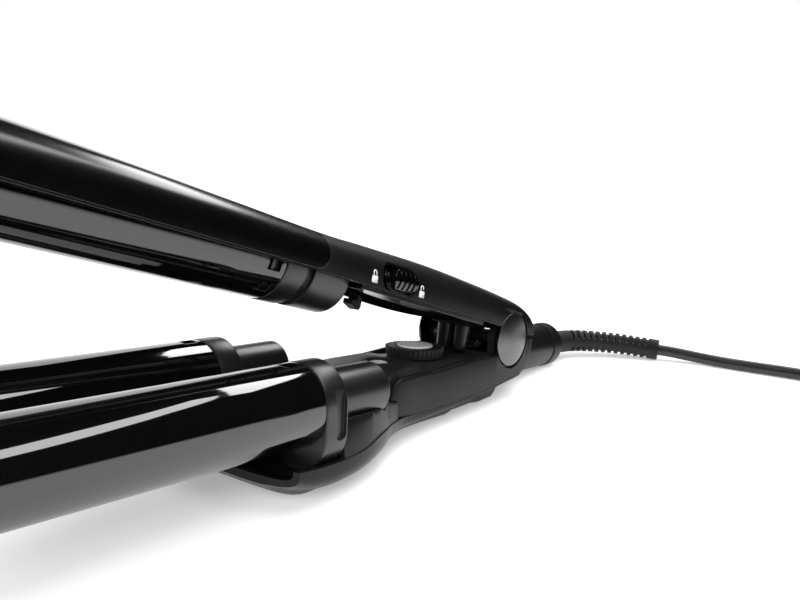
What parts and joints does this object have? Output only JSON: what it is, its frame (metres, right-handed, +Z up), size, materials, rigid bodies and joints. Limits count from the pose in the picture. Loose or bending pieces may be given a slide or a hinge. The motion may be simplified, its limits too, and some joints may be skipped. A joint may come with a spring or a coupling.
{
  "type": "hair crimper",
  "caption": "Triple-barrel hair crimper with sprung arms, sliding lock, temperature dial and swivel cord, lying open",
  "frame": {"origin": "on the table, straight below the hinge axis", "axes": "+X from the barrel tips towards the cord, +Y to the side away from the lock button, +Z up"},
  "size_m": [0.478, 0.2812, 0.134],
  "materials": {
    "satin_black": "satin",
    "gloss_black": "polished",
    "ceramic_black": "glossy ceramic coating",
    "matte_black": "matte",
    "rubber_black": "matte",
    "disc_grey": "satin metallic",
    "dial_grey": "satin",
    "steel": "plated",
    "brass_pin": "nickel plated",
    "board_green": "lacquered board",
    "heater_core": "ceramic bar in clamp blades"
  },
  "bodies": {
    "lower_arm": {"lower_outer_shell": "satin_black", "lower_inner_shell": "satin_black", "hinge_pin": "steel", "opening_spring": "steel", "deck_screw": "steel", "potentiometer": "matte_black", "circuit_board": "board_green", "rear_collar": "satin_black", "near_barrel": "ceramic_black", "near_collar": "satin_black", "near_neck": "satin_black", "near_tip": "matte_black", "near_heater": "heater_core", "near_hinge_cap": "disc_grey", "far_barrel": "ceramic_black", "far_collar": "satin_black", "far_neck": "satin_black", "far_tip": "matte_black", "far_heater": "heater_core", "far_hinge_cap": "disc_grey"},
    "upper_arm": {"upper_handle_shell": "satin_black", "upper_cover": "gloss_black", "upper_belly_plate": "satin_black", "upper_barrel": "ceramic_black", "upper_collar": "satin_black", "upper_boss": "satin_black", "upper_tip": "matte_black", "upper_heater": "heater_core", "bumper_bracket": "matte_black", "near_bumper": "gloss_black", "far_bumper": "gloss_black"},
    "lock": {"lock_button": "satin_black", "lock_hook": "matte_black"},
    "dial": {"dial_wheel": "matte_black", "dial_face": "dial_grey"},
    "cord_swivel": {"swivel_ring": "satin_black", "strain_relief": "rubber_black", "cord": "rubber_black", "cord_coil": "rubber_black", "plug_body": "rubber_black", "plug_pin_a": "brass_pin", "plug_pin_b": "brass_pin"}
  },
  "joints": [
    {"name": "arm_hinge", "type": "hinge", "parent": "lower_arm", "child": "upper_arm", "pos_m": [0, 0, 0.029], "axis": [0, 1, 0], "range_deg": [-13, 0], "stiffness_Nm_per_rad": 1.2, "springref_deg": 28.65},
    {"name": "lock_slide", "type": "slide", "parent": "upper_arm", "child": "lock", "axis": [-0.9527, 0, 0.304], "range_m": [0, 0.0055]},
    {"name": "dial_turn", "type": "hinge", "parent": "lower_arm", "child": "dial", "pos_m": [-0.0441, 0, 0.02938], "axis": [0.0767, 0, 0.9971], "range_deg": [-135, 135]},
    {"name": "cord_swivel_turn", "type": "hinge", "parent": "lower_arm", "child": "cord_swivel", "pos_m": [0.06483, 0, 0.01127], "axis": [0.9971, 0, -0.0767], "continuous": true}
  ]
}
